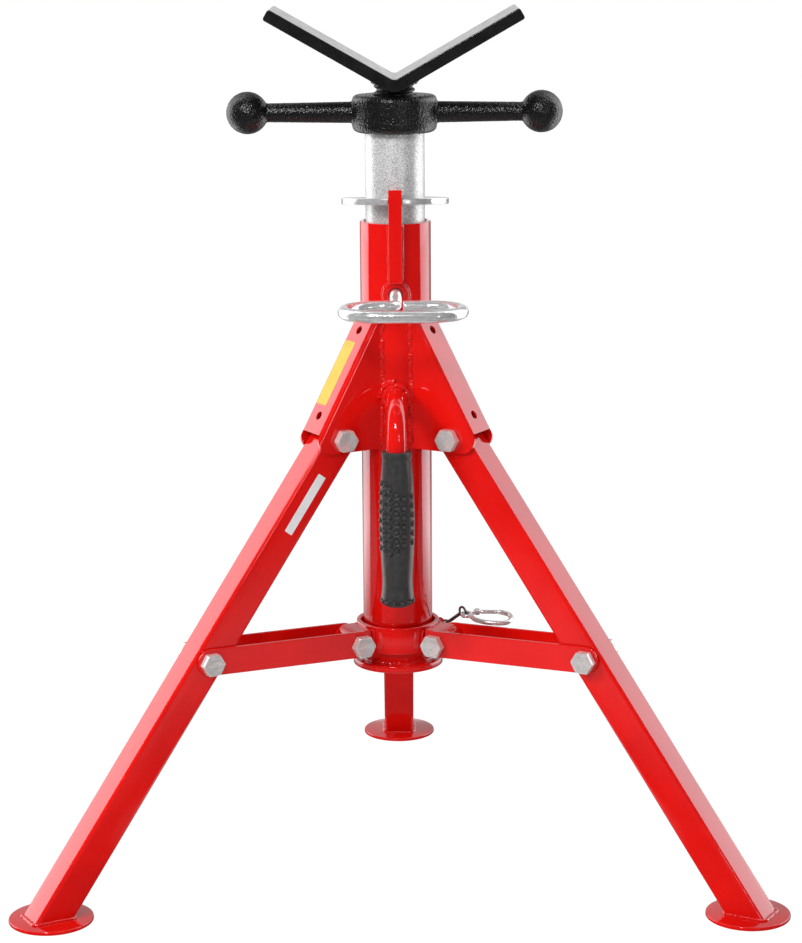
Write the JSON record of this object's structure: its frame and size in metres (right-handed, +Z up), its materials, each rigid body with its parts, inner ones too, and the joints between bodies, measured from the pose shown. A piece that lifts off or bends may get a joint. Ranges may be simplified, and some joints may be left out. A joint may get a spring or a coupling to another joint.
{
  "type": "pipe jack stand",
  "caption": "Folding tripod pipe stand with a pinned telescopic column, a jack screw turned by a ball-ended handle nut, and a V-shaped saddle.",
  "frame": {"origin": "on the floor, at the middle of the box round the three feet; the column stands 88 mm in front of it", "axes": "+Z up the column, -Y towards the carry handle, +X along the saddle's width"},
  "size_m": [0.6838, 0.6022, 0.7793],
  "materials": {
    "red_powder_coat": "glossy red powder coat",
    "black_cast_iron": "black painted casting with a hammered skin",
    "black_paint": "glossy black paint on thick plate",
    "zinc_tube": "satin zinc plate with fine speckle",
    "screw_steel": "dark oiled thread",
    "bright_zinc": "bright zinc plate",
    "bolt_steel": "zinc plated hex bolts",
    "grip_rubber": "moulded dark rubber with raised dots",
    "dark_steel": "dark wire",
    "label_yellow": "plain yellow label",
    "label_white": "plain white label"
  },
  "bodies": {
    "stand": {"column_tube": "red_powder_coat", "bottom_flange": "red_powder_coat", "carry_handle": "red_powder_coat", "handle_grip": "grip_rubber", "guide_bar": "red_powder_coat", "pin_boss": "red_powder_coat", "left_bracket": "red_powder_coat", "left_pivot_bolt": "bolt_steel", "left_pivot_nut": "bolt_steel", "right_bracket": "red_powder_coat", "right_pivot_bolt": "bolt_steel", "right_pivot_nut": "bolt_steel", "rear_bracket": "red_powder_coat", "rear_pivot_bolt": "bolt_steel", "rear_pivot_nut": "bolt_steel"},
    "inner_mast": {"inner_tube": "zinc_tube", "stop_ring": "bright_zinc"},
    "screw_head": {"jack_screw": "screw_steel", "v_head": "black_paint"},
    "nut": {"handle_nut": "black_cast_iron"},
    "pin": {"locking_pin": "bright_zinc"},
    "collar": {"slider_collar": "red_powder_coat", "tether_eye": "red_powder_coat", "left_lug": "red_powder_coat", "left_collar_bolt": "bolt_steel", "left_collar_nut": "bolt_steel", "right_lug": "red_powder_coat", "right_collar_bolt": "bolt_steel", "right_collar_nut": "bolt_steel", "rear_lug": "red_powder_coat", "rear_collar_bolt": "bolt_steel", "rear_collar_nut": "bolt_steel"},
    "left_leg": {"left_leg": "red_powder_coat", "left_foot": "red_powder_coat", "left_strut_bolt_shank": "bolt_steel"},
    "left_strut": {"left_strut": "red_powder_coat", "left_strut_bolt_head": "bolt_steel", "left_strut_bolt_nut": "bolt_steel"},
    "right_leg": {"right_leg": "red_powder_coat", "right_foot": "red_powder_coat", "right_strut_bolt_shank": "bolt_steel"},
    "right_strut": {"right_strut": "red_powder_coat", "right_strut_bolt_head": "bolt_steel", "right_strut_bolt_nut": "bolt_steel"},
    "rear_leg": {"rear_leg": "red_powder_coat", "rear_foot": "red_powder_coat", "rear_strut_bolt_shank": "bolt_steel"},
    "rear_strut": {"rear_strut": "red_powder_coat", "rear_strut_bolt_head": "bolt_steel", "rear_strut_bolt_nut": "bolt_steel"},
    "link": {"tether_link": "dark_steel"},
    "clip": {"clip_body": "bright_zinc", "clip_gate_pin": "bright_zinc"},
    "gate": {"clip_gate": "bright_zinc"}
  },
  "joints": [
    {"name": "tube_slide", "type": "slide", "parent": "stand", "child": "inner_mast", "axis": [0, 0, 1], "range_m": [0, 0.3]},
    {"name": "nut_turn", "type": "hinge", "parent": "inner_mast", "child": "nut", "pos_m": [0, -0.088, 0.687], "axis": [0, 0, 1], "range_deg": [0, 18000]},
    {"name": "screw_slide", "type": "slide", "parent": "inner_mast", "child": "screw_head", "axis": [0, 0, 1], "range_m": [0, 0.3001]},
    {"name": "pin_pull", "type": "slide", "parent": "stand", "child": "pin", "axis": [0, -1, 0], "range_m": [0, 0.045]},
    {"name": "collar_slide", "type": "slide", "parent": "stand", "child": "collar", "axis": [0, 0, 1], "range_m": [0, 0.10839]},
    {"name": "left_fold", "type": "hinge", "parent": "stand", "child": "left_leg", "pos_m": [-0.05586, -0.12025, 0.4005], "axis": [0.5, -0.866, 0], "range_deg": [0, 28]},
    {"name": "right_fold", "type": "hinge", "parent": "stand", "child": "right_leg", "pos_m": [0.05586, -0.12025, 0.4005], "axis": [0.5, 0.866, 0], "range_deg": [0, 28]},
    {"name": "rear_fold", "type": "hinge", "parent": "stand", "child": "rear_leg", "pos_m": [0, -0.0235, 0.4005], "axis": [-1, 0, 0], "range_deg": [0, 28]},
    {"name": "left_strut_swing", "type": "hinge", "parent": "collar", "child": "left_strut", "pos_m": [-0.042, -0.11225, 0.208], "axis": [0.5, -0.866, 0], "range_deg": [0, 73.72]},
    {"name": "right_strut_swing", "type": "hinge", "parent": "collar", "child": "right_strut", "pos_m": [0.042, -0.11225, 0.208], "axis": [0.5, 0.866, 0], "range_deg": [0, 73.72]},
    {"name": "rear_strut_swing", "type": "hinge", "parent": "collar", "child": "rear_strut", "pos_m": [0, -0.0395, 0.208], "axis": [-1, 0, 0], "range_deg": [0, 73.72]},
    {"name": "link_lift", "type": "hinge", "parent": "collar", "child": "link", "pos_m": [0.03807, -0.07025, 0.2135], "axis": [-0.8516, -0.5241, 0], "range_deg": [0, 25]},
    {"name": "clip_lift", "type": "hinge", "parent": "link", "child": "clip", "pos_m": [0.05976, -0.09462, 0.23022], "axis": [-0.8024, -0.5809, -0.1368], "range_deg": [0, 40]},
    {"name": "gate_open", "type": "hinge", "parent": "clip", "child": "gate", "pos_m": [0.07274, -0.09415, 0.23023], "axis": [-0.0076, 0.2391, -0.971], "range_deg": [0, 25], "stiffness_Nm_per_rad": 0.02, "springref_deg": -11.46}
  ],
  "couplings": [
    {"joint": "screw_slide", "follows": "nut_turn", "m_per_rad": 0.00095493},
    {"joint": "right_fold", "follows": "left_fold", "ratio": 1},
    {"joint": "rear_fold", "follows": "left_fold", "ratio": 1},
    {"joint": "collar_slide", "follows": "left_fold", "m_per_rad": 0.22178},
    {"joint": "left_strut_swing", "follows": "left_fold", "ratio": 2.6328},
    {"joint": "right_strut_swing", "follows": "left_fold", "ratio": 2.6328},
    {"joint": "rear_strut_swing", "follows": "left_fold", "ratio": 2.6328}
  ]
}
